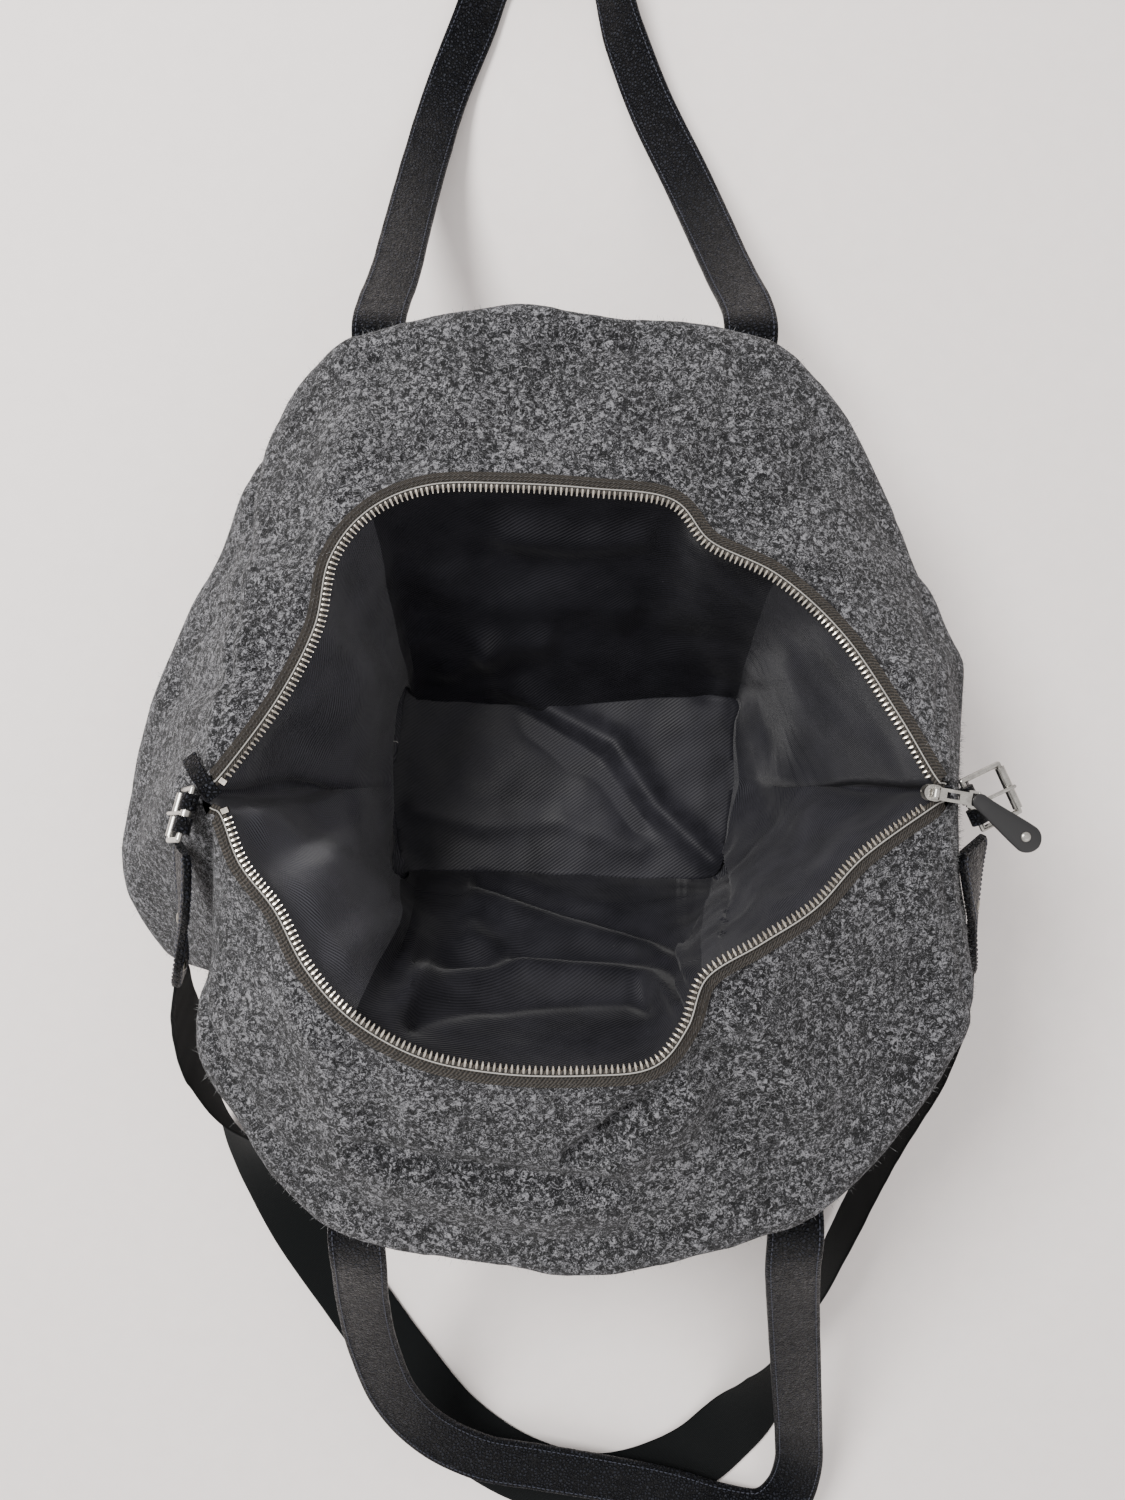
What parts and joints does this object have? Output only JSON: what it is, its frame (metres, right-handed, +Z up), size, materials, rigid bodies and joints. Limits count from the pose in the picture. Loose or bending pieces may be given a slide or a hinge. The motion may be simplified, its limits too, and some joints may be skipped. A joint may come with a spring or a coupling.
{
  "type": "weekender bag",
  "caption": "Soft wool weekender bag with an open zip mouth, leather carry handles and a webbing shoulder strap on roller buckles.",
  "frame": {"origin": "centre of the underside of the base", "axes": "+X along the bag's length towards the end where the open zip's slider stands, +Y towards the back, +Z up"},
  "size_m": [0.552, 1.2085, 0.2702],
  "materials": {
    "grey_wool": "heathered melton wool",
    "lining_twill": "black navy twill with a slight sheen",
    "base_board": "plain stiffener board",
    "webbing": "ribbed black webbing",
    "black_leather": "pebbled grain leather",
    "zip_tape": "ribbed dark tape",
    "zip_metal": "polished nickel teeth",
    "buckle_metal": "satin nickel",
    "rivet_metal": "antique nickel"
  },
  "bodies": {
    "bag": {"back_left_handle_root": "black_leather", "back_left_root_rivets": "rivet_metal", "back_lining": "lining_twill", "back_panel": "grey_wool", "back_right_handle_root": "black_leather", "back_right_root_rivets": "rivet_metal", "back_top_stop": "zip_metal", "back_zip_tape": "zip_tape", "back_zip_teeth": "zip_metal", "base_board": "base_board", "base_lining": "lining_twill", "base_panel": "grey_wool", "front_left_handle_root": "black_leather", "front_left_root_rivets": "rivet_metal", "front_lining": "lining_twill", "front_panel": "grey_wool", "front_right_handle_root": "black_leather", "front_right_root_rivets": "rivet_metal", "front_top_stop": "zip_metal", "front_zip_tape": "zip_tape", "front_zip_teeth": "zip_metal", "left_end_tab": "black_leather", "left_gusset": "grey_wool", "left_lining": "lining_twill", "right_end_tab": "black_leather", "right_gusset": "grey_wool", "right_lining": "lining_twill"},
    "zip_slider": {"zip_slider": "buckle_metal"},
    "zip_puller": {"zip_puller": "buckle_metal"},
    "leather_pull": {"leather_pull": "black_leather", "pull_rivet": "rivet_metal"},
    "front_handle": {"front_handle": "black_leather"},
    "back_handle": {"back_handle": "black_leather"},
    "shoulder_strap": {"shoulder_webbing": "webbing", "left_strap_end": "black_leather", "right_strap_end": "black_leather", "left_strap_rivets": "rivet_metal", "right_strap_rivets": "rivet_metal"},
    "right_buckle": {"right_buckle_frame": "buckle_metal"},
    "right_roller": {"right_buckle_roller": "buckle_metal"},
    "right_prong": {"right_buckle_prong": "buckle_metal"},
    "left_buckle": {"left_buckle_frame": "buckle_metal"},
    "left_roller": {"left_buckle_roller": "buckle_metal"},
    "left_prong": {"left_buckle_prong": "buckle_metal"}
  },
  "joints": [
    {"name": "zip_slide", "type": "slide", "parent": "bag", "child": "zip_slider", "axis": [-1, 0, 0], "range_m": [0, 0.012]},
    {"name": "puller_flip", "type": "hinge", "parent": "zip_slider", "child": "zip_puller", "pos_m": [0.2055, -0.0005, 0.2466], "axis": [-0.1736, -0.9848, 0], "range_deg": [0, 165]},
    {"name": "pull_flex", "type": "hinge", "parent": "zip_puller", "child": "leather_pull", "pos_m": [0.22835, -0.00453, 0.2466], "axis": [-0.1736, -0.9848, 0], "range_deg": [0, 60]},
    {"name": "strap_swing", "type": "hinge", "parent": "bag", "child": "shoulder_strap", "pos_m": [0, -0.029, 0.216], "axis": [-1, 0, 0], "range_deg": [0, 46]},
    {"name": "front_handle_swing", "type": "hinge", "parent": "bag", "child": "front_handle", "pos_m": [0, -0.267, 0.188], "axis": [-1, 0, 0], "range_deg": [0, 101.2]},
    {"name": "back_handle_swing", "type": "hinge", "parent": "bag", "child": "back_handle", "pos_m": [0, 0.291, 0.149], "axis": [1, 0, 0], "range_deg": [0, 110]},
    {"name": "right_buckle_swing", "type": "hinge", "parent": "bag", "child": "right_buckle", "pos_m": [0.2315, -0.008, 0.229], "axis": [-0.4145, 0.9101, 0.0006], "range_deg": [-10, 20]},
    {"name": "right_prong_lift", "type": "hinge", "parent": "right_buckle", "child": "right_prong", "pos_m": [0.2315, -0.008, 0.229], "axis": [-0.4145, 0.9101, 0.0006], "range_deg": [-50, 0]},
    {"name": "right_roller_spin", "type": "hinge", "parent": "right_buckle", "child": "right_roller", "pos_m": [0.25309, 0.00184, 0.2254], "axis": [-0.4145, 0.9101, 0.0006], "continuous": true},
    {"name": "left_buckle_swing", "type": "hinge", "parent": "bag", "child": "left_buckle", "pos_m": [-0.205, -0.012, 0.241], "axis": [-0.2016, -0.9565, 0.211], "range_deg": [-45, 0]},
    {"name": "left_prong_lift", "type": "hinge", "parent": "left_buckle", "child": "left_prong", "pos_m": [-0.205, -0.012, 0.241], "axis": [-0.2016, -0.9565, 0.211], "range_deg": [-100, 0]},
    {"name": "left_roller_spin", "type": "hinge", "parent": "left_buckle", "child": "left_roller", "pos_m": [-0.21731, -0.01393, 0.22049], "axis": [-0.2016, -0.9565, 0.211], "continuous": true}
  ],
  "couplings": [
    {"joint": "front_handle_swing", "follows": "strap_swing", "ratio": 2.2}
  ]
}
